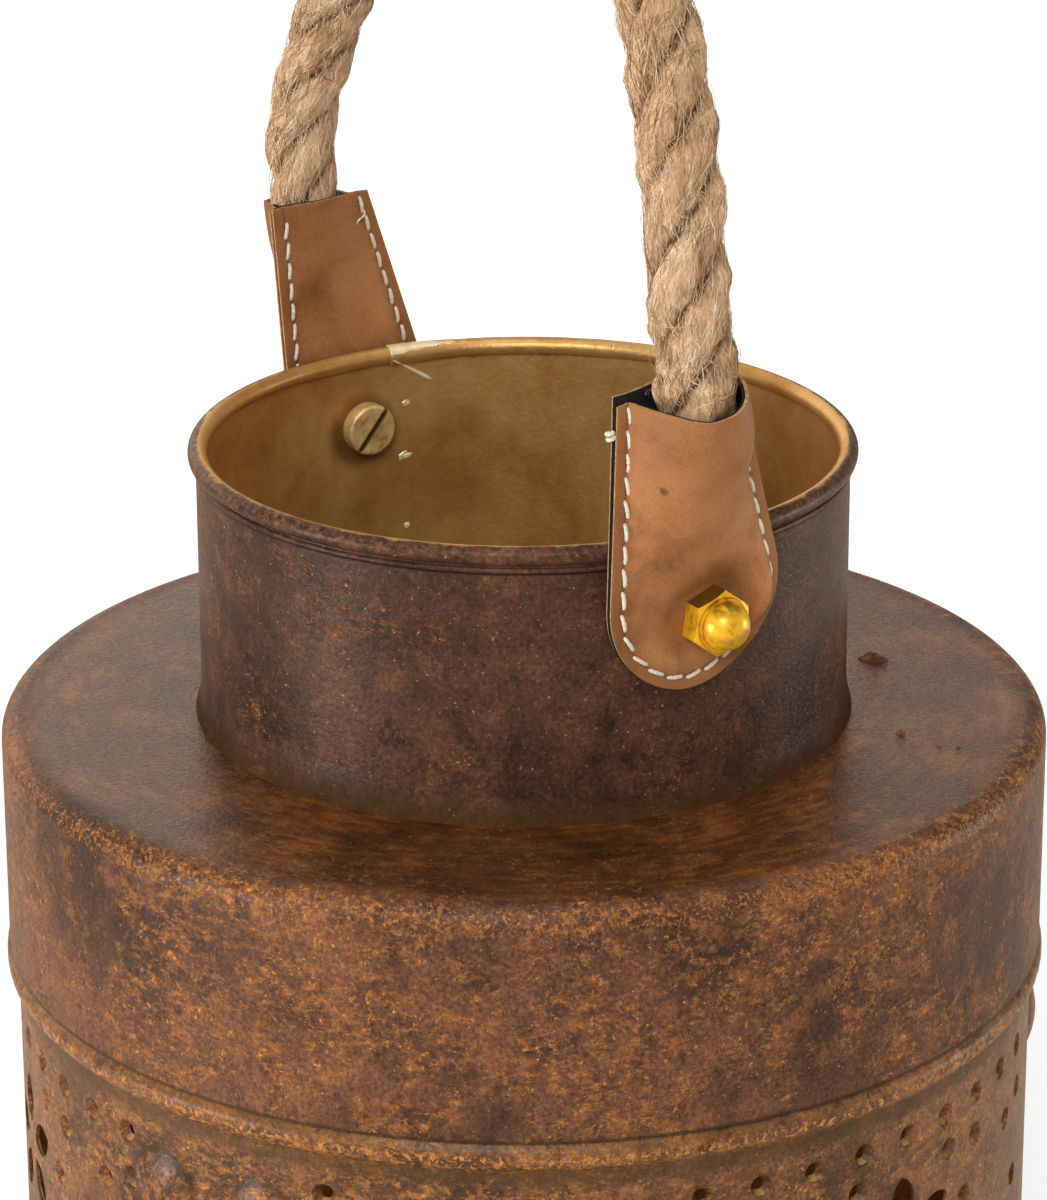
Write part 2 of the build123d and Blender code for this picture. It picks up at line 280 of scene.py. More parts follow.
def rust(look, dark, ground, warm, ochre, bare):
    """Antiqued paint on sheet metal: brown clouds, warm mottling, raised ochre dabs, grain, pale specks and
    painted shade in its hollows.

    bare is how much of the cloudy ground has no dabs. Returns the colour and the height of the dabs."""
    colour = look.ramp(look.noise(19.0, 7.0, 0.66, 0.2), (0.38, dark), (0.6, ground))
    mottle = look.noise(110.0, 8.0, 0.74, 0.2)
    colour = look.mix(look.step(mottle, 0.5, 0.66) * 0.45, colour, warm)
    colour = look.mix(look.step(mottle, 0.48, 0.35) * 0.85, colour, dark)
    where = look.step(look.noise(36.0, 5.0, 0.65, 0.2), bare - 0.05, bare + 0.09)
    brushed = look.noise(230.0, 7.0, 0.74, 0.3, look.stretched(1.0, 1.0, 1.9))
    halo = look.step(brushed, 0.48, 0.6) * where
    colour = look.mix(halo * 0.65, colour, warm)
    flow = look.noise(170.0, 6.0, 0.7, 0.4, look.stretched(1.0, 1.0, 1.6))
    lines = look.step(abs(flow - 0.5), 0.022, 0.006) * look.step(look.noise(300.0, 4.0, 0.7), 0.5, 0.58)
    dots = look.step(look.noise(700.0, 4.0, 0.7), 0.6, 0.66)
    raised = look.most(look.most(lines, dots), look.step(brushed, 0.6, 0.66)) * where
    colour = look.mix(raised * 0.7, colour, ochre)
    grain = look.scaled(look.noise(1000.0, 4.0, 0.75), 0.35, 1.6)
    colour = look.mix(1.0, colour, grain, "MULTIPLY")
    specks = look.step(look.noise(1250.0, 2.0, 0.5), 0.69, 0.75)
    colour = look.mix(specks * 0.55, colour, srgb(206, 164, 118))
    # Painted shade: the colour darkened where the surface round a spot closes it in.
    colour = look.mix(look.hollow_shade(0.003) * 0.8, colour, srgb(36, 24, 12))
    return colour, raised


def rust_surface(look, raised, rough):
    """The sheet's dents, its fine grain and the raised dabs, as bumps and as changes of gloss."""
    grain = look.noise(800.0, 4.0, 0.65)
    normal = look.bump(look.noise(8.0, 2.0, 0.5), 0.3, 0.005)
    normal = look.bump(grain, 0.35, 0.0005, normal)
    normal = look.bump(raised, 0.6, 0.0005, normal)
    look.set("Roughness", (grain - 0.5) * 0.4 + rough)
    look.set("Normal", normal)


def gold_tone(look):
    """Satin gold lacquer, cloudy, brushed upward and a little tarnished."""
    film = look.noise(26.0, 6.0, 0.66, 0.2)
    dull, plain, bright = srgb(184, 132, 68), srgb(212, 164, 96), srgb(232, 190, 126)
    colour = look.ramp(film, (0.34, dull), (0.5, plain), (0.68, bright))
    brushed = look.noise(1.0, 5.0, 0.65, 0.0, look.stretched(260.0, 260.0, 30.0))
    return look.mix(1.0, colour, look.scaled(brushed, 0.95, 1.04), "MULTIPLY")


def neck_tin(name):
    """The neck: dark and smooth, olive dust at the foot, a painted shadow under the hem, gold lacquer inside
    and on the rim's inner edge, and a painted shadow round each screw on the gold.
    """
    look = Look(name, Specular_Tint=(1.0, 0.84, 0.7, 1.0))
    tones = srgb(40, 26, 20), srgb(77, 49, 37), srgb(112, 71, 48), srgb(176, 112, 64)
    colour, raised = rust(look, *tones, 0.56)
    height, radius = look.height(), look.radius()
    ragged = look.noise(150.0, 4.0, 0.6) * 0.006
    foot = look.step_mm(height - ragged, neck_foot_z + 5, neck_foot_z - 2)
    dusty = foot * look.scaled(look.noise(420.0, 5.0, 0.7), 0.3, 0.8)
    colour = look.mix(dusty, colour, srgb(74, 50, 22))
    rim = look.step_mm(height + ragged, rim_z - 1, rim_z + 4)
    rim = rim * look.step(look.noise(700.0, 5.0, 0.7, 0.2), 0.42, 0.66)
    colour = look.mix(rim * 0.45, colour, srgb(142, 94, 60))
    # Painted shadow: a dark line on the outer wall just under the hem's ridge.
    hem_shadow = look.step_mm(height, hem_z - 1.3, hem_z - 0.8) * look.step_mm(height, hem_z - 0.1, hem_z - 0.5)
    colour = look.mix(hem_shadow * 0.8, colour, srgb(22, 14, 10))
    rubbed = (look.noise(220.0, 5.0, 0.65) - 0.5) * 0.005
    worn = look.step_mm(radius + rubbed, rim_radius + 0.7, rim_radius - 0.9)
    worn = worn * look.step_mm(height, rim_z - 0.6, rim_z + 1.2)
    inside = look.step_mm(radius, gold_neck_radius, gold_neck_radius - 0.05)
    gilt = look.most(worn, inside)
    # Painted shadow: the gold darkened round each screw's head, set a little to one side and below.
    screw_shadow = look.step_mm(look.off_bolt(-1.2, -0.8), 10.8, 6.6) * 0.75
    gold = look.mix(screw_shadow, gold_tone(look), srgb(92, 56, 20))
    look.set("Base Color", look.mix(gilt, colour, gold))
    look.set("Metallic", gilt * 0.62)
    look.set("Specular IOR Level", look.blend(foot, 0.22, 0.04))
    rust_surface(look, raised * (1.0 - gilt), look.blend(foot, 0.36, 0.6))
    return look.material


def cap_tin(name):
    """The shoulder cap: brown and glossy on top, mottled on the skirt, with ochre flecks on its corner."""
    look = Look(name, Specular_Tint=(1.0, 0.93, 0.86, 1.0))
    tones = srgb(62, 40, 31), srgb(104, 67, 48), srgb(150, 92, 50), srgb(214, 142, 64)
    skirt, raised = rust(look, *tones, 0.45)
    streaks = look.noise(1.0, 6.0, 0.68, 0.3, look.around(420.0, 9.0))
    clouds = look.noise(34.0, 7.0, 0.68, 0.3) + look.scaled(streaks, -0.13, 0.13)
    top = look.ramp(clouds, (0.3, srgb(44, 21, 8)), (0.5, srgb(82, 44, 17)), (0.72, srgb(136, 80, 36)))
    top = look.mix(raised * 0.4, top, srgb(172, 112, 56))
    top = look.mix(1.0, top, look.scaled(look.noise(1300.0, 3.0, 0.7), 0.6, 1.4), "MULTIPLY")
    specks = look.step(look.noise(900.0, 2.0, 0.5), 0.7, 0.76)
    top = look.mix(specks * 0.6, top, srgb(206, 164, 118))
    # Painted shade: the top darkened where the surface round a spot closes it in.
    top = look.mix(look.hollow_shade(0.01) * 0.6, top, srgb(34, 22, 8))
    height, radius = look.height(), look.radius()
    ragged = look.noise(120.0, 5.0, 0.62) * 0.006
    flat = look.step_mm(radius + ragged, skirt_radius - 1, skirt_radius - 7)
    flat = flat * look.step_mm(height, neck_foot_z - 1.5, neck_foot_z - 0.1)
    colour = look.mix(flat, skirt, top)
    corner = look.step_mm(radius, skirt_radius - 4, skirt_radius - 1)
    corner = corner * look.step_mm(height + ragged, neck_foot_z - 4.5, neck_foot_z - 0.5)
    flecks = corner * look.step(look.noise(1050.0, 4.0, 0.72), 0.52, 0.62)
    colour = look.mix(flecks * 0.6, colour, srgb(198, 128, 60))
    hem = look.step_mm(height, skirt_bottom + 0.9, skirt_bottom + 0.4)
    look.set("Base Color", look.mix(hem * 0.7, colour, srgb(46, 32, 14)))
    look.set("Specular IOR Level", look.blend(flat, 0.17, 0.52))
    rust_surface(look, raised, look.blend(flat, 0.34, 0.27))
    return look.material


def body_tin(name):
    """The punched shell and the floor pan: as the skirt outside, with olive grime and painted shade beside
    the bead and painted shade round the domes' feet, and gold lacquer on their inner faces.
    """
    look = Look(name, Specular_IOR_Level=0.26, Specular_Tint=(1.0, 0.9, 0.8, 1.0))
    tones = srgb(68, 44, 32), srgb(118, 76, 49), srgb(164, 106, 60), srgb(218, 146, 66)
    colour, raised = rust(look, *tones, 0.44)
    height, radius = look.height(), look.radius()
    rise = height - bead_z * mm
    # Olive grime and painted shade: a band where the wall runs up under the skirt's hem, and one from the
    # bead's lower half down into the crease below it.
    crease = rise + look.noise(160.0, 5.0, 0.62) * 0.003
    grime = look.most(look.step_mm(crease, 4.2, 5.2), look.step_mm(crease, -0.8, -2.2))
    grime = grime * look.step_mm(crease, -7.2, -4.5)
    colour = look.mix(grime * 0.6, colour, srgb(72, 50, 24))
    dust = look.step_mm(rise, 0.4, 2.2) * look.step_mm(rise, 5.2, 3.8)
    dust = dust * look.step(look.noise(260.0, 5.0, 0.7), 0.4, 0.6)
    colour = look.mix(dust * 0.3, colour, srgb(150, 106, 46))
    bead = look.step_mm(abs(rise + 0.0012), 3.2, 1.2)
    flecks = bead * look.step(look.noise(760.0, 5.0, 0.72, 0.2), 0.52, 0.6)
    colour = look.mix(flecks * 0.85, colour, srgb(206, 138, 64))
    # Painted shade: a dark ring at the foot of each raised dome, where it rises from the wall.
    proud = (radius - body_radius * mm) * look.step_mm(rise, -5.2, -6)
    ring = look.step_mm(proud, 0.1, 0.4) * look.step_mm(proud, 1.2, 0.6)
    colour = look.mix(ring * 0.6, colour, srgb(52, 36, 22))
    crown = look.step_mm(proud, 0.6, 1.6) * look.step(look.noise(520.0, 6.0, 0.74), 0.46, 0.6)
    colour = look.mix(crown * 0.55, colour, srgb(178, 108, 50))
    normal = look.node("NewGeometry", {}, "Normal")
    facing = look.vector("DOT_PRODUCT", normal, look.vector("NORMALIZE", look.flat()), "Value")
    upward = look.node("SeparateXYZ", {0: normal}, 2)
    inner = look.most(look.step(facing, -0.6, -0.9), look.step(upward, 0.6, 0.9))
    gilt = inner * look.step_mm(radius, gold_body_radius, gold_body_radius - 0.1)
    look.set("Base Color", look.mix(gilt, colour, gold_tone(look)))
    look.set("Metallic", gilt * 0.62)
    rust_surface(look, raised, 0.32)
    return look.material


def screw_metal(name):
    """Pale brass, scratched across, with painted brown shade in its hollows."""
    look = Look(name, Metallic=0.45)
    wear = look.noise(260.0, 5.0, 0.65, 0.3)
    dull, plain, bright = srgb(150, 112, 60), srgb(222, 184, 116), srgb(244, 216, 160)
    colour = look.ramp(wear, (0.3, dull), (0.48, plain), (0.7, bright))
    scratch = look.noise(420.0, 4.0, 0.6, 0.0, look.stretched(1.0, 6.0, 6.0))
    # Painted shade: brown where the surface round a spot closes it in.
    look.set("Base Color", look.mix(look.hollow_shade(0.002), colour, srgb(96, 64, 26)))
    look.set("Roughness", look.scaled(wear, 0.52, 0.34))
    look.set("Normal", look.bump(scratch, 0.3, 0.0004))
    return look.material


def nut_paint(name):
    """Bright yellow brass, worn dull in patches, rusty on the flats that face up, with orange-brown grime and
    painted shade in its hollows.
    """
    look = Look(name, Metallic=0.3)
    wear = look.noise(170.0, 6.0, 0.66, 0.3)
    dull, plain, bright = srgb(190, 142, 60), srgb(240, 180, 20), srgb(250, 200, 40)
    colour = look.ramp(wear, (0.36, dull), (0.46, plain), (0.66, bright))
    spots = look.step(look.noise(900.0, 3.0, 0.6), 0.66, 0.72)
    colour = look.mix(spots * 0.7, colour, srgb(104, 66, 22))
    upward = look.node("SeparateXYZ", {0: look.node("NewGeometry", {}, "Normal")}, 2)
    flats = look.step_mm(look.off_bolt(), 6.1, 6.4) * look.step(upward, 0.55, 0.75)
    flats = flats * look.step(look.noise(600.0, 5.0, 0.7), 0.26, 0.42)
    colour = look.mix(flats * 0.92, colour, srgb(82, 50, 20))
    grime = look.step(look.noise(260.0, 5.0, 0.7, 0.3), 0.5, 0.68)
    colour = look.mix(grime * 0.65, colour, srgb(158, 104, 26))
    crown = look.step(upward, 0.5, 0.85) * look.step(look.noise(520.0, 5.0, 0.7), 0.36, 0.56)
    colour = look.mix(crown * 0.8, colour, srgb(104, 66, 20))
    # Orange-brown grime and painted shade, where the surface round a spot closes it in.
    look.set("Base Color", look.mix(look.hollow_shade(0.002) * 0.9, colour, srgb(168, 90, 10)))
    look.set("Roughness", look.scaled(wear, 0.44, 0.22))
    look.set("Normal", look.bump(look.noise(700.0, 4.0, 0.6), 0.15, 0.0003))
    return look.material


def chip_gold(name):
    """Clean gold where the lacquer is thick or the sheet's edge shows, and a painted highlight on top of the
    rim's lap.
    """
    look = Look(name, Metallic=0.3, Roughness=0.3)
    film = look.noise(300.0, 3.0, 0.55)
    look.set("Base Color", look.ramp(film, (0.3, srgb(240, 206, 142)), (0.7, srgb(254, 238, 202))))
    look.set("Normal", look.bump(film, 0.2, 0.0003))
    return look.material


def crumb(name):
    """Loose rust, red-brown and rough."""
    look = Look(name, Roughness=0.75, Specular_IOR_Level=0.2)
    lumps = look.noise(500.0, 5.0, 0.7)
    colour = look.ramp(lumps, (0.32, srgb(74, 46, 33)), (0.5, srgb(118, 74, 50)), (0.68, srgb(162, 108, 74)))
    look.set("Base Color", colour)
    look.set("Normal", look.bump(lumps, 0.9, 0.0008))
    return look.material


def leather(name, dark, ground, light):
    """Smooth tan leather: soft clouds of colour, scuffs, very fine grain, painted shade along the pulled seam
    and toward the cut edges and the top.
    """
    look = Look(name, Specular_IOR_Level=0.16)
    colour = look.ramp(look.noise(55.0, 5.0, 0.6, 0.3), (0.3, dark), (0.5, ground), (0.7, light))
    scuffs = look.step(look.noise(140.0, 6.0, 0.65, 0.6), 0.58, 0.74)
    colour = look.mix(scuffs * 0.4, colour, light)
    smudges = look.step(look.noise(95.0, 4.0, 0.6, 0.2), 0.4, 0.28)
    colour = look.mix(smudges * 0.5, colour, dark)
    # Painted shade in the groove that the stitches pull into the leather.
    colour = look.mix(look.attribute("seam") * 0.75, colour, srgb(70, 42, 24))
    # Painted shade: darker toward the cut edges and toward the top of the tab.
    colour = look.mix(look.attribute("edge_and_top_shade") * 0.5, colour, dark)
    colour = look.mix(1.0, colour, look.scaled(look.noise(1900.0, 3.0, 0.7), 0.82, 1.18), "MULTIPLY")
    off_stain = look.vector("DISTANCE", look.place, stain_place, "Value")
    stain = look.step_mm(off_stain + look.noise(900.0, 4.0, 0.7) * 0.0014, 2.1, 1.1)
    look.set("Base Color", look.mix(stain * 0.7, colour, srgb(62, 46, 36)))
    grain = look.node("TexVoronoi", {"Vector": look.place, "Scale": 2600.0}, "Distance")
    creases = look.noise(300.0, 5.0, 0.6, 0.5)
    look.set("Roughness", look.blend(creases, 0.42, 0.62))
    look.set("Normal", look.bump(grain, 0.12, 0.0002, look.bump(creases, 0.18, 0.0004)))
    return look.material


def fibre_cloth(name, dark, light, scale):
    """Matt cloth or thread: fine threads in two tones."""
    look = Look(name, Roughness=0.9, Specular_IOR_Level=0.2)
    threads = look.noise(scale, 4.0, 0.7)
    look.set("Base Color", look.ramp(threads, (0.32, dark), (0.68, light)))
    look.set("Normal", look.bump(threads, 0.5, 0.0004))
    return look.material


def jute(name, deep, dark, ground, light):
    """Twisted plant fibre: streaks that run along the yarns, with painted shade toward the grooves between
    strands.
    """
    look = Look(name, Roughness=0.85, Specular_IOR_Level=0.22)
    lay = look.node("UVMap", {}, 0, uv_map="lay")
    streaks = look.noise(1.0, 6.0, 0.72, 0.3, look.stretched(44.0, 0.22, 1.0, lay))
    patches = look.noise(1.0, 4.0, 0.6, 0.3, look.stretched(6.0, 0.1, 1.0, lay))
    colour = look.ramp(streaks, (0.3, dark), (0.5, ground), (0.68, light))
    colour = look.mix(look.step(patches, 0.46, 0.32) * 0.7, colour, dark)
    colour = look.mix(look.step(patches, 0.54, 0.7) * 0.6, colour, light)
    # Painted shade: the colour darkened toward the grooves between strands.
    shade = look.attribute("groove") + (streaks - 0.5) * 0.9
    look.set("Base Color", look.mix(look.step(shade, 0.25, 0.75), colour, deep))
    look.set("Normal", look.bump(streaks, 0.9, 0.0007))
    return look.material


def stray_fibre(name, *tones):
    """Single fibres, each with its own tone."""
    look = Look(name, Roughness=0.7, Specular_IOR_Level=0.3)
    tone = look.node("SeparateXYZ", {0: look.node("UVMap", {}, 0, uv_map="lay")}, 0)
    stops = [(number / (len(tones) - 1), colour) for number, colour in enumerate(tones)]
    flecks = (look.noise(600.0, 3.0, 0.6) - 0.5) * 0.5
    look.set("Base Color", look.ramp(tone + flecks, *stops))
    return look.material


tin_body = body_tin("rusted_tin_body")
nut_brass = nut_paint("worn_brass_nut")
screw_brass = screw_metal("worn_brass_screw")
tan = leather("tan_leather", srgb(124, 79, 44), srgb(165, 109, 65), srgb(180, 124, 79))
cut_edge = fibre_cloth("leather_cut_edge", srgb(138, 98, 62), srgb(198, 158, 114), 900.0)
black_cloth = fibre_cloth("black_lining", srgb(12, 11, 11), srgb(44, 40, 38), 1300.0)
white_thread = fibre_cloth("white_thread", srgb(196, 178, 154), srgb(236, 226, 208), 1800.0)
rope_jute = jute("jute_rope", srgb(98, 68, 44), srgb(158, 118, 82), srgb(206, 166, 126), srgb(232, 202, 166))
fibre_tones = (112, 76, 46), (178, 136, 96), (216, 178, 138), (238, 210, 174), (250, 234, 208)
stray_jute = stray_fibre("jute_fibre", *(srgb(*tone) for tone in fibre_tones))
bare_gold_and_highlight = chip_gold("bare_gold_and_highlight")
crumb_rust = crumb("rust_crumb")
looks = {
    "body_shell": tin_body,
    "base_pan": tin_body,
    "shoulder_cap": cap_tin("rusted_tin_cap"),
    "neck_collar": neck_tin("rusted_tin_neck"),
    "screw_right": screw_brass,
    "screw_left": screw_brass,
    "dome_nut_right": nut_brass,
    "dome_nut_left": nut_brass,
}
for node, material in looks.items():
    slots = nodes[node].data.materials
    for index in range(len(slots)):
        slots[index] = material


# Meshes


def mesh_piece(name, points, faces, materials, body, face_materials=None, sharp=None):
    """A mesh in metres that rides on a body."""
    mesh = bpy.data.meshes.new(name)
    mesh.from_pydata(points.tolist(), [], faces.tolist())
    mesh.polygons.foreach_set("use_smooth", np.ones(len(faces), bool))
    for material in materials:
        mesh.materials.append(material)
    if face_materials is not None:
        mesh.polygons.foreach_set("material_index", face_materials)
    if sharp is not None:
        mesh.set_sharp_from_angle(angle=sharp)
    mesh.update()
    piece = bpy.data.objects.new(name, mesh)
    bpy.context.scene.collection.objects.link(piece)
    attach(piece, body)
    return piece


def grid_faces(rows, columns, closed=False):
    """The quads of a grid of points, row by row; closed joins the last column to the first."""
    across = columns if closed else columns - 1
    row, column = np.meshgrid(np.arange(rows - 1), np.arange(across), indexing="ij")
    after = (column + 1) % columns
    corners = [row * columns + column, row * columns + after]
    corners += [(row + 1) * columns + after, (row + 1) * columns + column]
    return np.stack(corners, -1).reshape(-1, 4)


def smooth(value, low, high):
    """0 below low, 1 above high, and an even curve between."""
    share = np.clip((value - low) / (high - low), 0, 1)
    return share * share * (3 - 2 * share)


# The rope handle: a route, then three strands laid round it

lean_up = np.array([0.0, -math.sin(lean), math.cos(lean)])
bolt = np.array([0.0, 0.0, bolt_z])


def rope_end(side, up, out=rope_n):
    return bolt + np.array([side * out, 0, 0]) + up * lean_up


arch = [
    (82.7, -11.2, 97.7), (71.4, -8.4, 125.3), (53.9, -3.9, 146.6), (30.6, 0.1, 160.0), (3.9, 2.7, 164.5),
    (-23.3, 3.6, 159.7), (-47.9, 2.6, 146.4), (-67.5, 0.0, 125.6), (-80.8, -4.5, 98.4),
]
rope_route = [rope_end(1, 32, rope_tip_n), rope_end(1, 66)]
rope_route += [bolt + np.array(point) for point in arch]
rope_route += [rope_end(-1, 66), rope_end(-1, 32, rope_tip_n)]


def spline_points(route):
    """Points along the smooth curve that has the route as its control points, in millimetres."""
    curve = bpy.data.curves.new("rope_line", "CURVE")
    curve.dimensions = "3D"
    curve.resolution_u = 64
    spline = curve.splines.new("NURBS")
    spline.points.add(len(route) - 1)
    for point, place in zip(spline.points, route):
        point.co = (*(np.array(place) * mm), 1)
    spline.order_u = 3
    spline.use_endpoint_u = True
    holder = bpy.data.objects.new("rope_line", curve)
    line = bpy.data.meshes.new_from_object(holder)
    points = np.array([vertex.co for vertex in line.vertices]) / mm
    bpy.data.objects.remove(holder)
    bpy.data.curves.remove(curve)
    bpy.data.meshes.remove(line)
    return points


def distances(line):
    """How far along a line each of its points is."""
    steps = np.linalg.norm(np.diff(line, axis=0), axis=1)
    return np.concatenate([[0], np.cumsum(steps)])


def spread(line, count):
    """The same line as count points an even distance apart."""
    along = distances(line)
    places = np.linspace(0, along[-1], count)
    return np.stack([np.interp(places, along, column) for column in line.T], 1)


def directions(points):
    steps = np.gradient(points, axis=0)
    return steps / np.linalg.norm(steps, axis=1, keepdims=True)


def carried_frame(points):
    """Two directions square to the line that turn with it without twisting round it."""
    along = directions(points)
    first = np.cross(along[0], [0, 1, 0])
    firsts = []
    for direction in along:
        first = first - direction * np.dot(first, direction)
        first = first / np.linalg.norm(first)
        firsts.append(first)
    firsts = np.array(firsts)
    return firsts, np.cross(along, firsts)


rope_gap = 0.7
rope_curve = spline_points(rope_route)
rope_length = distances(rope_curve)[-1]
rope_along = np.linspace(0, rope_length, int(rope_length / rope_gap) + 1)
rope_line = spread(rope_curve, len(rope_along))
rope_side, rope_up = carried_frame(rope_line)
taper = np.minimum(rope_along, rope_length - rope_along)
rope_scale = np.interp(rope_along, [0, rope_length], [rope_near_radius, rope_far_radius])
rope_scale = rope_scale / (strand_radius + strand_offset)
rope_scale = rope_scale * (tip_scale + (1 - tip_scale) * smooth(taper, 0, tip_length))


def strand(number):
    """One strand: its centre, the direction away from the rope's middle, and the direction across."""
    turn = 2 * math.pi * (number / 3 + rope_along / strand_lay)
    outward = np.cos(turn)[:, None] * rope_side + np.sin(turn)[:, None] * rope_up
    centre = rope_line + outward * (strand_offset * rope_scale)[:, None]
    across = np.cross(directions(centre), outward)
    return centre, outward, across


strands = [strand(number) for number in range(3)]
waves = [(rng.uniform(0.25, 1.1), rng.integers(-2, 3), rng.uniform(0, 6.28), 0.024) for _ in range(9)]
yarn_turn = 2 * math.pi / strand_lay * (1 + strand_offset / strand_radius)


def strand_shape(number, along, angle):
    """How far out a strand's surface is, as a share of its radius: the yarns' ridges and slow lumps."""
    lumps = sum(
        size * np.sin(rate * along + turns * angle + shift + number) for rate, turns, shift, size in waves
    )
    return 0.92 + 0.1 * np.abs(np.cos(yarns / 2 * (angle + yarn_turn * along))) + lumps


def strand_surface(number, angle):
    """Points of a strand's surface at an angle from its outermost line, and their places round its yarns."""
    centre, outward, across = strands[number]
    reach = strand_radius * rope_scale * strand_shape(number, rope_along, angle)
    direction = np.cos(angle) * outward + np.sin(angle) * across
    return centre + direction * reach[:, None], angle + yarn_turn * rope_along


def make_rope():
    sides = 36
    angles = np.linspace(-math.pi, math.pi, sides + 1)
    points, faces, places = [], [], []
    for number in range(3):
        columns = [strand_surface(number, angle) for angle in angles]
        start = len(points) * len(rope_along) * (sides + 1)
        points.append(np.stack([column[0] for column in columns], 1).reshape(-1, 3))
        yarn = np.stack([column[1] for column in columns], 1) / (2 * math.pi)
        far = np.repeat(rope_along[:, None], sides + 1, 1)
        places.append(np.stack([yarn + 3 * number, far], -1).reshape(-1, 2))
        faces.append(grid_faces(len(rope_along), sides + 1) + start)
    points, faces, places = np.concatenate(points), np.concatenate(faces), np.concatenate(places)
    piece = mesh_piece("rope_strands", points * mm, faces, [rope_jute], "handle")
    add_places(piece, places)
    # How far toward a groove between strands each point lies, for painted shade.
    groove = smooth(np.abs(angles), 0.75, 1.75)
    add_values(piece, "groove", np.tile(groove, 3 * len(rope_along)))
    return piece


def add_places(piece, places):
    """A texture map named lay, from one place for each point of the mesh."""
    corners = np.zeros(len(piece.data.loops), np.int32)
    piece.data.loops.foreach_get("vertex_index", corners)
    uv = piece.data.uv_layers.new(name="lay")
    uv.data.foreach_set("uv", places[corners].astype(np.float32).reshape(-1))


def add_values(piece, name, values):
    """A named number for each point of the mesh, for its material to read."""
    attribute = piece.data.attributes.new(name, "FLOAT", "POINT")
    attribute.data.foreach_set("value", values.astype(np.float32).reshape(-1))


def tubes(lines_of_points, radii, sides):
    """Thin tubes along many short lines with the same number of points."""
    lines_of_points = np.asarray(lines_of_points)
    count, rings, _ = lines_of_points.shape
    along = np.gradient(lines_of_points, axis=1)
    along = along / np.linalg.norm(along, axis=2, keepdims=True)
    helper = np.where(np.abs(along[:, :1, 2:]) > 0.8, [[[1.0, 0, 0]]], [[[0, 0, 1.0]]])
    first = np.cross(along, np.broadcast_to(helper, along.shape))
    first = first / np.linalg.norm(first, axis=2, keepdims=True)
    second = np.cross(along, first)
    turn = np.linspace(0, 2 * math.pi, sides, endpoint=False)
    ring = np.cos(turn)[:, None] * first[:, :, None] + np.sin(turn)[:, None] * second[:, :, None]
    points = lines_of_points[:, :, None] + ring * radii[:, :, None, None]
    faces = grid_faces(rings, sides, closed=True)
    all_faces = (np.arange(count) * rings * sides)[:, None, None] + faces
    return points.reshape(-1, 3), all_faces.reshape(-1, 4)


def fibre_piece(name, lines_of_points, radii, shade):
    """Fibres along many short lines, each with a tone of its own about its clump's shade."""
    count, rings, _ = lines_of_points.shape
    points, faces = tubes(lines_of_points, radii, 3)
    piece = mesh_piece(name, points * mm, faces, [stray_jute], "handle")
    tone = np.repeat(np.clip(rng.normal(0.43, 0.17, count) + shade, 0, 1), rings * 3)
    add_places(piece, np.stack([tone, tone], 1))
    return piece


def bridging_fibres(name, count, rings, length, slant, thick):
    """Fibres that lie on the rope as a whole and cross the grooves between its strands."""
    share = np.linspace(-0.5, 0.5, rings)
    reach = np.maximum(rng.gamma(4.0, length / 4, count), 3)[:, None]
    free = rope_length - 2 * pocket_depth - reach
    middle = pocket_depth + reach / 2 + rng.uniform(0, 1, count)[:, None] * free
    tilt = rng.normal(0, slant, count)[:, None]
    along = middle + reach * share * np.cos(tilt)
    index = np.clip((along / rope_gap).round().astype(int), 0, len(rope_along) - 1)
    radius = (strand_radius + strand_offset) * rope_scale[index] * rng.uniform(0.82, 0.97, count)[:, None]
    bow = rng.normal(0, 0.5, count)[:, None] * (4 * share**2 - 1)
    angle = rng.uniform(0, 2 * math.pi, count)[:, None] + (reach * share * np.sin(tilt) + bow) / radius
    out = np.cos(angle)[..., None] * rope_side[index] + np.sin(angle)[..., None] * rope_up[index]
    radii = rng.uniform(0.7, 1.3, count)[:, None] * thick * (1 - 1.4 * share**2)
    return fibre_piece(name, rope_line[index] + out * radius[..., None], radii, 0.0)


clump_length = 11.0
clumps = rng.normal(0, 0.2, (3, yarns, int(rope_length / clump_length) + 1))


def make_fibres(name, count, rings, length, drift, lift, curl, thick):
    """Loose fibres on the strands: they follow the yarns, wander off by drift, and lift away at one end."""
    share = np.linspace(0, 1, rings)
    centres, outwards, acrosses = (np.stack(part) for part in zip(*strands))
    number = rng.integers(3, size=count)[:, None]
    reach = np.maximum(rng.gamma(3.0, length / 3, count), 1.5)[:, None]
    free = rope_length - 2 * pocket_depth - reach
    begin = pocket_depth + rng.uniform(0, 1, count)[:, None] * free
    along = begin + reach * share * np.cos(np.clip(drift * 3, 0, 0.9))
    index = np.clip((along / rope_gap).round().astype(int), 0, len(rope_along) - 1)
    wander = rng.normal(-yarn_turn * 0.8, drift, count)[:, None]
    angle = rng.uniform(-1.35, 1.35, count)[:, None] + wander * (along - begin - reach / 2)
    angle = angle + rng.normal(0, curl, count)[:, None] * share**2
    out = np.cos(angle)[..., None] * outwards[number, index]
    out = out + np.sin(angle)[..., None] * acrosses[number, index]
    stand = rng.gamma(1.3, lift, count)[:, None] * reach * share**2
    radius = strand_radius * rope_scale[index] * strand_shape(number, along, angle) + stand + 0.04
    radii = rng.uniform(0.7, 1.3, count)[:, None] * thick * (1 - 0.5 * share)
    yarn = ((angle + yarn_turn * along)[:, 0] / (2 * math.pi) * yarns).astype(int) % yarns
    shade = clumps[number[:, 0], yarn, (along[:, 0] / clump_length).astype(int)]
    return fibre_piece(name, centres[number, index] + out * radius[..., None], radii, shade)


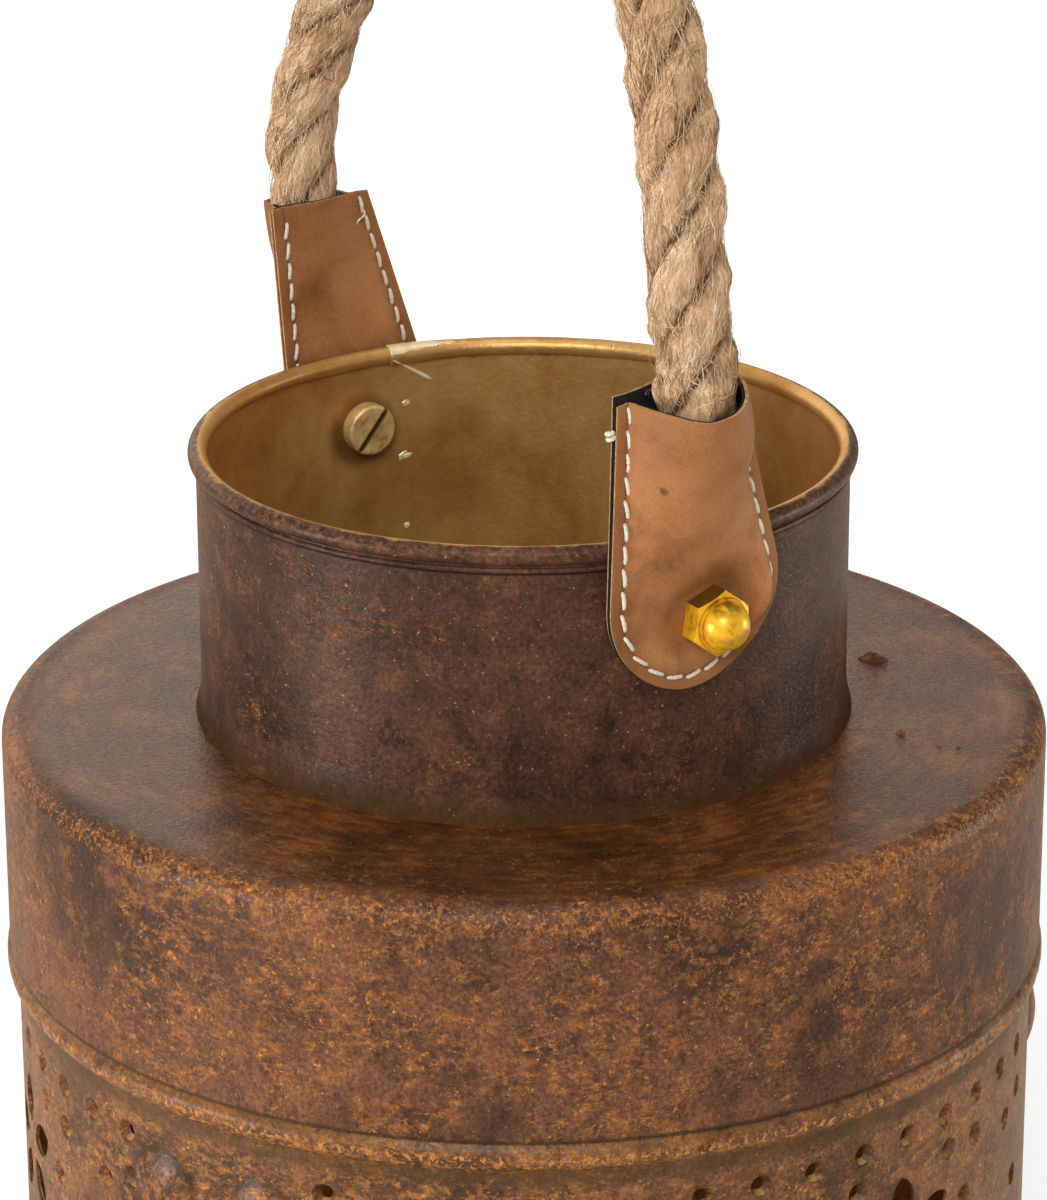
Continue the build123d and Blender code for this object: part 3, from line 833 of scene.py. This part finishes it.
rope = make_rope()
lying = make_fibres("rope_lying_fibres", 9000, 8, 9.0, 0.09, 0.014, 0.6, 0.09)
straying = make_fibres("rope_stray_fibres", 1500, 9, 7.0, 0.16, 0.11, 1.2, 0.06)
bridging = bridging_fibres("rope_bridging_fibres", 2200, 7, 10.0, 0.5, 0.095)
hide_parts("handle_rope")


# The leather tabs: each layer is a closed sheet shaped over the rope and drawn in at the screw


def to_world(side, u, v, n):
    """Points of a tab's own plane (u across, v up the tab, n out from the lantern's axis)."""
    across = np.array([0, side * math.cos(lean), side * math.sin(lean)])
    out = np.array([side, 0.0, 0.0])
    return bolt + u[..., None] * across + v[..., None] * lean_up + n[..., None] * out


def tangent_angle(radius, top, height):
    """Where on the round end, from the level, a straight side to the top corner touches it."""
    corner = math.atan2(height - tab_round_v, top)
    return corner - math.acos(radius / math.hypot(top, height - tab_round_v))


def round_end(radius, first, last, count):
    """Points on a tab's round end, from one angle to another, as distances from the tab's middle."""
    turn = np.linspace(first, last, count)
    return np.stack([radius * np.cos(turn), tab_round_v + radius * np.sin(turn)], 1)


def tab_side(tab, inset, height):
    """One side of a tab, from low on its round end to its top corner, as distances from its middle."""
    radius = tab["half"] - inset
    top = tab["top"] - inset
    arc = round_end(radius, -math.pi / 4, tangent_angle(radius, top, height), 40)
    straight = np.linspace(0, 1, 40)[1:, None]
    line = arc[-1] + (np.array([top, height]) - arc[-1]) * straight
    return np.concatenate([arc, line])


def half_width(tab, inset, v):
    """Half the tab's width at each height, inside the inset."""
    side = tab_side(tab, inset, tab_height)
    radius = tab["half"] - inset
    low = np.sqrt(np.maximum(radius**2 - (v - tab_round_v) ** 2, 0))
    return np.where(v < side[0, 1], low, np.interp(v, side[:, 1], side[:, 0]))


def middle_line(tab, v):
    """Where the tab's own middle is: it hangs a little to one side of the screw."""
    return tab["shift"] + tab["shear"] * (v - 10)


def edge_distance(tab, u, v):
    """How far a point is inside the tab's cut edge, the mouth left out."""
    off = u - middle_line(tab, v)
    low = tab["half"] - np.hypot(off, v - tab_round_v)
    return np.where(v < tab_round_v, low, half_width(tab, 0, v) - np.abs(off))


def tab_grid(tab, inset, tops, dip, columns, rows):
    """A grid of points that fills the outline to its edges; dip lowers the middle of the mouth."""
    left = tab_side(tab, inset, tops[0]) * [-1, 1]
    right = tab_side(tab, inset, tops[1])
    low = round_end(tab["half"] - inset, -math.pi * 3 / 4, -math.pi / 4, 60)
    bottom, top = spread(low, columns), spread(np.stack([left[-1], right[-1]]), columns)
    share = np.linspace(-1, 1, columns)
    top[:, 1] -= dip * (1 - smooth(np.abs(share), 0.1, 0.85))
    left, right = spread(left, rows), spread(right, rows)
    a = np.linspace(0, 1, columns)[None, :, None]
    b = np.linspace(0, 1, rows)[:, None, None]
    grid = (1 - b) * bottom[None] + b * top[None] + (1 - a) * left[:, None] + a * right[:, None]
    grid = grid - (1 - a) * ((1 - b) * bottom[0] + b * top[0]) - a * ((1 - b) * bottom[-1] + b * top[-1])
    return grid[..., 0] + middle_line(tab, grid[..., 1]), grid[..., 1]


def drawn_in(u, v):
    """How far the screw pulls the leather toward the neck."""
    return dish_depth * (1 - smooth(np.hypot(u, v), dish_seat, dish_edge))


def hug(u):
    """The side edges bend a little toward the round neck."""
    return edge_hug * (u / hug_half) ** 2


def seam_dip(tab, u, v):
    """How deep in the stitches' groove a point is, from 0 to 1."""
    off = edge_distance(tab, u, v) - seam_inset
    return np.exp(-((off / 0.75) ** 2))


def thinned(tab, u, v):
    """The layers are pressed thinner toward their sewn edge."""
    return 1 - edge_squeeze * (1 - smooth(edge_distance(tab, u, v), 0.3, 6.5))


def front_height(tab, u, v):
    """The middle of the outer leaf: flat at its edge, arched over the rope, drawn in at the nut."""
    rise = smooth(v, bulge_toe, bulge_floor)
    width = np.maximum(half_width(tab, seam_inset + 1.0, v), 2)
    middle = middle_line(tab, v)
    crest = middle + (tab["rope"] - middle) * smooth(v, 20, 50)
    away = np.where(u < crest, (crest - u) / (crest - middle + width), (u - crest) / (middle + width - crest))
    away = np.clip(away, 0, 1)
    fullness = smooth(v, 12, 46)
    power = 2.0 + 0.6 * fullness
    edge = 2.0 - 1.35 * fullness
    bulge = bulge_height * rise * (1 - away**power) ** edge
    puff = tab["puff"] * np.exp(-((u - puff_u) / 4.5) ** 2 - ((v - puff_v) / 9.0) ** 2)
    bulge = bulge + puff * smooth(edge_distance(tab, u, v), 1.5, 5.5)
    flat = back_skin_n + (front_leaf_n - back_skin_n) * thinned(tab, u, v)
    return flat + bulge - drawn_in(u, v) - hug(u) - 0.3 * seam_dip(tab, u, v)


def back_height(tab, u, v):
    """The middle of the inner leaf: nearly flat, pressed a little toward the neck by the rope's end."""
    width = half_width(tab, seam_inset, v)
    away = np.clip(np.abs(u - middle_line(tab, v)) / np.maximum(width, 1), 0, 1)
    pressed = back_press * smooth(v, 26, 44) * (1 - away**2) ** 2
    flat = back_skin_n + skin * thinned(tab, u, v)
    return flat - pressed - drawn_in(u, v) - hug(u) + 0.2 * seam_dip(tab, u, v)


def layer(name, tab, side, height, grid, low, high, materials):
    """One closed sheet between two offsets from a leaf's middle surface."""
    u, v = grid
    rows, columns = u.shape
    middle = to_world(side, u, v, height(tab, u, v))
    normal = np.cross(np.gradient(middle, axis=1), np.gradient(middle, axis=0))
    normal = normal / np.linalg.norm(normal, axis=2, keepdims=True)
    edge = np.zeros(u.shape)
    edge[[0, -1], :] = 1
    edge[:, [0, -1]] = 1
    press = thinned(tab, u, v)
    centre = (low + high) / 2 * press
    reach = (high - low) / 2 * press * (1 - 0.3 * edge)
    outer = middle + normal * (centre + reach)[..., None]
    inner = middle + normal * (centre - reach)[..., None]
    count = rows * columns
    faces = grid_faces(rows, columns)
    index = np.arange(count).reshape(rows, columns)
    ring = np.concatenate([index[0, :-1], index[:-1, -1], index[-1, :0:-1], index[:0:-1, 0]])
    following = np.roll(ring, -1)
    rim = np.stack([ring, ring + count, following + count, following], 1)
    all_faces = np.concatenate([faces, faces[:, ::-1] + count, rim])
    which = np.concatenate([np.zeros(2 * len(faces), np.int32), np.ones(len(rim), np.int32)])
    points = np.concatenate([outer.reshape(-1, 3), inner.reshape(-1, 3)]) * mm
    piece = mesh_piece(name, points, all_faces, materials, "handle", which, math.radians(50))
    # The seam value is painted shade for the stitches' groove.
    add_values(piece, "seam", np.tile(seam_dip(tab, u, v) ** 3, (2, 1)))
    # Painted shade for the leather: near 1 at the cut edges and toward the top of the tab.
    edge_and_top_shade = np.maximum(1 - smooth(edge_distance(tab, u, v), 1.0, 6.0), smooth(v, 26, 54))
    add_values(piece, "edge_and_top_shade", np.tile(edge_and_top_shade, (2, 1)))
    return piece


def seam_line(tab):
    """The line of stitches from one top corner round the end to the other."""
    right = tab_side(tab, seam_inset, tab_height - 2)
    low = round_end(tab["half"] - seam_inset, -math.pi / 4, -math.pi * 3 / 4, 40)[1:-1]
    line = np.concatenate([right[::-1], low, right * [-1, 1]])
    line[:, 0] += middle_line(tab, line[:, 1])
    return line


def make_stitches(name, tab, side, height, face, out):
    """A row of thread stitches that stand on one face, their ends sunk in the leather."""
    pitch, length, thread, slant_turn = 5.0, 4.3, 0.46, math.radians(7)
    line = seam_line(tab)
    count = int(distances(line)[-1] / pitch)
    places = spread(line, 2 * count + 1)
    middles, ahead = places[1::2], places[2::2] - places[0:-1:2]
    rings = 11
    share = np.linspace(-1, 1, rings)
    rows, radii = [], []
    for middle, heading in zip(middles, ahead):
        heading = heading / np.linalg.norm(heading)
        turn = slant_turn + rng.normal(0, 0.05)
        turned = np.array([
            heading[0] * math.cos(turn) - heading[1] * math.sin(turn),
            heading[0] * math.sin(turn) + heading[1] * math.cos(turn),
        ])
        flat = middle + share[:, None] * turned * length / 2
        ground = height(tab, flat[:, 0], flat[:, 1]) + face * thinned(tab, flat[:, 0], flat[:, 1])
        stand = out * (0.36 * (1 - share**2) - 0.4 * share**6)
        rows.append(to_world(side, flat[:, 0], flat[:, 1], ground + stand))
        radii.append(thread * (1 - 0.45 * share**4) * (1 + 0.08 * np.cos(9 * share)))
    points, faces = tubes(rows, np.array(radii), 10)
    return mesh_piece(name, points * mm, faces, [white_thread], "handle")


def make_tab(side):
    tab = tabs[side]
    name = tab["name"]
    leathers, cloths = [tan, cut_edge], [black_cloth, black_cloth]
    front, back, inset = tab["front_top"], tab["back_top"], tab["lining_inset"]
    pieces = [
        ("front_skin", front_height, (0, front, mouth_dip), 0, skin, leathers, "tan_leather"),
        ("front_lining", front_height, (inset, front, mouth_dip), -lining, 0, cloths, "black_lining"),
        ("back_lining", back_height, (inset, back, 0), 0, lining, cloths, "black_lining"),
        ("back_skin", back_height, (0, back, 0), -skin, 0, leathers, "tan_leather"),
    ]
    for part, height, outline, low, high, materials, slot in pieces:
        grid = tab_grid(tab, *outline, 84, 130)
        piece = layer(f"soft_{part}_{name}", tab, side, height, grid, low, high, materials)
        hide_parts(f"tab_{part}_{name}")
    front = make_stitches(f"stitches_front_{name}", tab, side, front_height, skin, 1)
    make_stitches(f"stitches_back_{name}", tab, side, back_height, -skin, -1)
    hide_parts(f"tab_stitching_{name}")


for side in tabs:
    make_tab(side)


# Small marks of making and wear on the metal and the thread, and a painted highlight on the rim's lap


def on_wall(turn, radius, z):
    """Places on a round wall, in millimetres: degrees round the axis, distance from it and height."""
    angle = np.radians(turn)
    return np.stack(np.broadcast_arrays(radius * np.cos(angle), radius * np.sin(angle), z), -1)


def metal_piece(name, points, faces, materials, face_materials=None):
    """A small piece of the lantern's metal, from points in millimetres."""
    mesh_piece(name, points.reshape(-1, 3) * mm, faces, materials, "lantern", face_materials)


def fleck(name, middle, out, width, height, thick, turn, material):
    """A crumb or chip with a ragged outline, its flat side sunk in the surface that it lies on."""
    sectors, rings, sunk = 28, 9, 0.08
    out = np.array(out) / np.linalg.norm(out)
    helper = np.array([0, 0, 1.0]) if abs(out[2]) < 0.5 else np.array(level_out)
    side = np.cross(helper, out) / np.linalg.norm(np.cross(helper, out))
    up = np.cross(out, side)
    side, up = side * math.cos(turn) + up * math.sin(turn), up * math.cos(turn) - side * math.sin(turn)
    angle = np.linspace(0, 2 * math.pi, sectors, endpoint=False)
    ragged = 1 + sum(rng.normal(0, 0.4 / k) * np.cos(k * angle + rng.uniform(0, 6.28)) for k in (2, 3, 5, 7))
    share = np.linspace(1, 0.02, rings)[:, None]
    stand = thick * np.sqrt(1 - share**2) * (1 + 0.3 * np.cos(2 * angle + 3 * share)) - sunk
    x, y = (share * size / 2 * ragged * wave(angle) for size, wave in ((width, np.cos), (height, np.sin)))
    points = np.array(middle) + x[..., None] * side + y[..., None] * up + stand[..., None] * out
    metal_piece(name, points, grid_faces(rings, sectors, closed=True), [material])


def make_rim_lap():
    """The end of the rim's sheet, lapped over its start at the back of the neck, with a painted highlight in
    pale gold along its top.
    """
    rows, columns, lap_length = 150, 60, 15.0
    turn = np.linspace(lap_turn, lap_turn - lap_length, rows)[:, None]
    roll = np.linspace(0, 2 * math.pi, columns, endpoint=False)
    thick = rim_roll + 0.35 * smooth(turn, lap_turn - lap_length, lap_turn - 3)
    thick[0] = 0.86 * thick[0]
    points = on_wall(turn, rim_radius + thick * np.cos(roll), rim_z + thick * np.sin(roll))
    faces = grid_faces(rows, columns, closed=True)
    row, column = np.divmod(np.arange(len(faces)), columns)
    # Faces near the lap's top take the pale gold as a painted highlight; the rest take the neck's own look.
    off_top = np.abs(column / columns * 360 - 112)
    plain = off_top + 0.35 * row + 4 * np.sin(row / 5) > 52
    metal_piece("rim_lap", points, faces, [bare_gold_and_highlight, looks["neck_collar"]], plain.astype(np.int32))


def make_rim_hem():
    """The edge of the sheet that is rolled into the rim, a fine ridge round the neck."""
    turns, sides, stands, tall = 360, 12, 0.5, 0.75
    turn = np.linspace(0, 360, turns, endpoint=False)[:, None]
    roll = np.linspace(0, 2 * math.pi, sides, endpoint=False)
    wave = 0.12 * np.sin(3 * np.radians(turn)) + 0.06 * np.sin(7 * np.radians(turn))
    points = on_wall(turn, neck_outer + stands * np.cos(roll), hem_z + tall * np.sin(roll) + wave)
    points = np.concatenate([points, points[:1]])
    metal_piece("rim_hem", points, grid_faces(turns + 1, sides, closed=True), [looks["neck_collar"]])


def make_lap_line():
    """The cut edge of the lapped sheet, slanting down the inner wall."""
    share = np.linspace(0, 1, 15)
    on_roll = 1.7 * np.sqrt(np.maximum(1 - (share / 0.26) ** 2, 0))
    line = on_wall(lap_turn - 0.2 - 8.3 * share, neck_inner - 0.1 - on_roll, rim_z - 0.5 - 6.7 * share)
    radii = (0.3 + 0.3 * share) * np.minimum(1, 8 * (1 - share) + 0.3)
    metal_piece("rim_lap_edge", *tubes(line[None], radii[None], 8), [bare_gold_and_highlight])


def thread_tail(name, side, line, thread):
    """A loose length of sewing thread on a tab, through points across it, up it and out from the axis."""
    line = np.array(line)
    fine = np.linspace(0, len(line) - 1, 6 * len(line))
    rows = np.stack([np.interp(fine, np.arange(len(line)), line[:, i]) for i in range(3)], 1)
    kernel = np.hanning(9) / np.hanning(9).sum()
    padded = np.pad(rows, ((4, 4), (0, 0)), "edge")
    u, v, n = (np.convolve(padded[:, i], kernel, "valid") for i in range(3))
    radii = thread * (1 + 0.15 * np.cos(9 * fine))
    points, faces = tubes(to_world(side, u, v, n)[None], radii[None], 8)
    mesh_piece(name, points * mm, faces, [white_thread], "handle")


make_rim_lap()
make_rim_hem()
make_lap_line()

# Chips of gold on the neck's inner wall: degrees round the axis, height, width and tallness
gold_chips = (171.5, 319.3, 2.4, 1.8), (171.9, 306.1, 3.8, 2.0), (171.6, 288.2, 2.0, 1.5)
chip_thick, chip_turn = 0.3, 0.25
for number, (turn, z, width, height) in enumerate(gold_chips, 1):
    place = on_wall(turn, neck_inner, z)
    fleck(f"gold_chip_{number}", place, -place * [1, 1, 0], width, height, chip_thick, chip_turn, bare_gold_and_highlight)

# Crumbs of rust on the shoulder: place, width, depth and thickness
crumbs = (
    (22.3, 82.3, 7.4, 2.6, 1.6),
    (63.5, 61.4, 2.2, 1.8, 0.9),
    (74.3, 64.2, 1.2, 1.0, 0.4),
    (77.0, 67.5, 1.2, 1.0, 0.4),
)
crumb_turn = -0.3
for number, (x, y, width, depth, thick) in enumerate(crumbs, 1):
    place = x, y, neck_foot_z
    fleck(f"rust_crumb_{number}", place, (0, 0, 1), width, depth, thick, crumb_turn, crumb_rust)

# A knot of thread round the right tab's edge, and a loose tail of it on the left tab
knot_v = 48.4
knot_thread = 0.5
knot_turn = np.linspace(-2.2, 8.4, 16)
knot_u = middle_line(tabs[1], knot_v) - half_width(tabs[1], 0, np.array(knot_v)) - 0.2
knot_n = back_skin_n + 0.1
knot = [knot_u - 0.75 * np.cos(knot_turn), knot_v + 0.2 * knot_turn, knot_n + 0.9 * np.sin(knot_turn)]
thread_tail("thread_knot_right", 1, np.stack(knot, 1), knot_thread)
tail = [
    (-9.4, 47.9, 77.6), (-9.0, 48.5, 76.7), (-9.6, 49.6, 76.2),
    (-11.0, 50.0, 76.2), (-11.6, 50.8, 76.5), (-11.2, 51.8, 77.0),
]
tail_thread = 0.22
thread_tail("thread_tail_left", -1, tail, tail_thread)


# Floor, light and camera


def make_floor():
    """A plain pale floor that reads as white and keeps the shadow; glossy surfaces see it warmer."""
    look = Look("studio_floor", Roughness=0.9)
    glossy = look.node("LightPath", {}, "Is Glossy Ray")
    direct = look.node("LightPath", {}, "Is Camera Ray")
    seen = look.most(direct, look.node("LightPath", {}, "Is Transmission Ray"))
    pale = look.ramp(look.noise(3.0), (0.3, srgb(240, 240, 240)), (0.7, srgb(246, 246, 246)))
    look.set("Base Color", look.mix(glossy, pale, srgb(243, 220, 196)))
    look.set("Emission Color", (1, 1, 1, 1))
    far = look.step(look.radius(), 0.3, 1.6)
    look.set("Emission Strength", seen * look.blend(far, 0.3, 0.8))
    size = 30.0
    corners = [(-size, -size, 0), (size, -size, 0), (size, size, 0), (-size, size, 0)]
    mesh = bpy.data.meshes.new("studio_floor")
    mesh.from_pydata(corners, [], [(0, 1, 2, 3)])
    mesh.materials.append(look.material)
    floor = bpy.data.objects.new("studio_floor", mesh)
    bpy.context.scene.collection.objects.link(floor)


def make_camera():
    up = toward_camera.cross(level_right)
    right = level_right * math.cos(camera_roll) - up * math.sin(camera_roll)
    up = toward_camera.cross(right)
    data = bpy.data.cameras.new("photo_camera")
    data.sensor_fit = "HORIZONTAL"
    data.sensor_width = 36
    data.lens = focal_pixels / image_width * data.sensor_width
    data.clip_end = 100
    camera = bpy.data.objects.new("photo_camera", data)
    place = Matrix((right, up, toward_camera)).transposed().to_4x4()
    place.translation = camera_target + toward_camera * camera_distance
    camera.matrix_world = place
    bpy.context.scene.collection.objects.link(camera)
    bpy.context.scene.camera = camera


def make_light(name, out, right, up, size, power):
    """A soft square lamp, placed from the camera's side of the object and turned toward it."""
    data = bpy.data.lights.new(name, "AREA")
    data.shape = "SQUARE"
    data.size = size
    data.energy = power
    lamp = bpy.data.objects.new(name, data)
    middle = Vector((0, 0, 0.3))
    lamp.location = middle + level_out * out + level_right * right + Vector((0, 0, up))
    lamp.rotation_euler = (lamp.location - middle).to_track_quat("Z", "Y").to_euler()
    bpy.context.scene.collection.objects.link(lamp)


def make_world():
    """A white room to the camera; glossy surfaces see it warmer, and brightest at the back left."""
    world_light = 0.42
    world = bpy.data.worlds.new("studio")
    bpy.context.scene.world = world
    world.use_nodes = True
    room = Nodes(world.node_tree)
    glossy = room.node("LightPath", {}, "Is Glossy Ray")
    seen = room.node("LightPath", {}, "Is Camera Ray")
    back_left = (-level_out - 0.75 * level_right).normalized()
    toward = room.vector("DOT_PRODUCT", room.node("TexCoord", {}, "Generated"), back_left, "Value")
    levels = {"From Min": 0.55, "From Max": 0.9, "To Min": 0.3, "To Max": 1.55}
    wall = room.node("MapRange", {"Value": toward, **levels})
    background = world.node_tree.nodes["Background"]
    room.put(background.inputs["Color"], room.mix(glossy, (1, 1, 1, 1), (1, 0.85, 0.72, 1)))
    room.put(background.inputs["Strength"], room.blend(seen, room.blend(glossy, world_light, wall), 1.0))


make_floor()
make_camera()
make_world()
make_light("key", out=1.5, right=-0.3, up=1.1, size=0.9, power=19.5)
make_light("low_left", out=0.6, right=-1.4, up=-0.06, size=0.45, power=13.5)
make_light("low_right", out=-0.3, right=1.5, up=-0.06, size=0.45, power=5.5)
make_light("top", out=0.2, right=0.15, up=1.7, size=1.0, power=6)
bpy.context.scene.view_settings.view_transform = "Standard"
